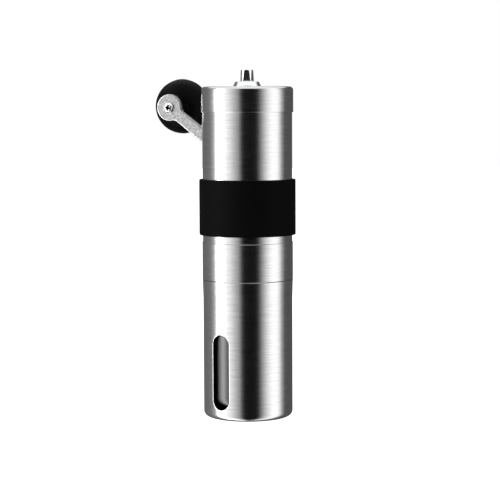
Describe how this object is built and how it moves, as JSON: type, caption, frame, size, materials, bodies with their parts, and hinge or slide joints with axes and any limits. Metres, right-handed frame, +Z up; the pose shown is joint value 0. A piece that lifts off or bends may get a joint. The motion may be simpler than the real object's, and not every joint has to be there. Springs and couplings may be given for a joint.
{
  "type": "hand crank coffee grinder",
  "caption": "Slim tube coffee grinder with a catch cup, conical burrs, a rubber grip band and a pull-off crank parked behind it.",
  "frame": {"origin": "centre of the flat base that the catch cup stands on", "axes": "+Z up along the spindle, +Y towards the back where the crank is parked, +X to the right"},
  "size_m": [0.0944, 0.0806, 0.1855],
  "materials": {
    "brushed_steel": "fine brushing round the body, satin",
    "clear_plastic": "clear, gloss",
    "black_rubber": "matte",
    "black_plastic": "moulded, fine grain",
    "burr_ceramic": "fine matte",
    "acetal": "smooth",
    "chromed_boss": "polished",
    "turned_steel": "turned, bright",
    "spring_steel": "drawn, dull",
    "satin_strip": "tumbled satin, bright edges",
    "brass": "machined",
    "knob_plastic": "moulded, semi-gloss"
  },
  "bodies": {
    "cup": {"cup_shell": "brushed_steel", "cup_liner": "clear_plastic"},
    "body": {"hopper_tube": "brushed_steel", "grip_band": "black_rubber", "housing_collar": "brushed_steel", "burr_housing": "black_plastic", "burr_retainer": "black_plastic", "retainer_screws": "spring_steel", "ring_burr": "burr_ceramic", "top_bridge": "black_plastic", "top_bush": "acetal", "lower_bush": "acetal"},
    "lid": {"lid_cap": "brushed_steel", "lid_liner": "black_plastic", "lid_boss": "chromed_boss"},
    "spindle": {"spindle": "turned_steel", "retaining_clip": "spring_steel", "thrust_washer": "turned_steel", "spring_washer": "acetal"},
    "burr": {"cone_burr": "burr_ceramic", "burr_hub": "black_plastic", "burr_spring": "spring_steel"},
    "dial": {"adjust_dial": "black_plastic", "dial_nut": "brass"},
    "crank": {"crank_arm": "satin_strip", "knob_post": "turned_steel", "knob_screw": "turned_steel", "knob_washer": "acetal"},
    "knob": {"crank_knob": "knob_plastic", "knob_cap": "knob_plastic"}
  },
  "joints": [
    {"name": "body_lift", "type": "slide", "parent": "cup", "child": "body", "axis": [0, 0, 1], "range_m": [0, 0.06]},
    {"name": "lid_lift", "type": "slide", "parent": "body", "child": "lid", "axis": [0, 0, 1], "range_m": [0, 0.04]},
    {"name": "spindle_spin", "type": "hinge", "parent": "body", "child": "spindle", "pos_m": [0, 0, 0.12], "axis": [0, 0, 1], "continuous": true},
    {"name": "burr_shift", "type": "slide", "parent": "spindle", "child": "burr", "axis": [0, 0, 1], "range_m": [-0.0015, 0.001], "deforming": ["burr_spring"]},
    {"name": "dial_turn", "type": "hinge", "parent": "burr", "child": "dial", "pos_m": [0, 0, 0.065], "axis": [0, 0, 1], "range_deg": [-540, 360]},
    {"name": "crank_draw", "type": "slide", "parent": "body", "child": "crank", "axis": [-0.788, 0, 0.6157], "range_m": [0, 0.045]},
    {"name": "knob_spin", "type": "hinge", "parent": "crank", "child": "knob", "pos_m": [-0.05319, 0.03938, 0.16653], "axis": [0.0322, 0.9986, 0.0412], "continuous": true}
  ],
  "couplings": [
    {"joint": "dial_turn", "follows": "burr_shift", "rad_per_m": 6283.2}
  ]
}
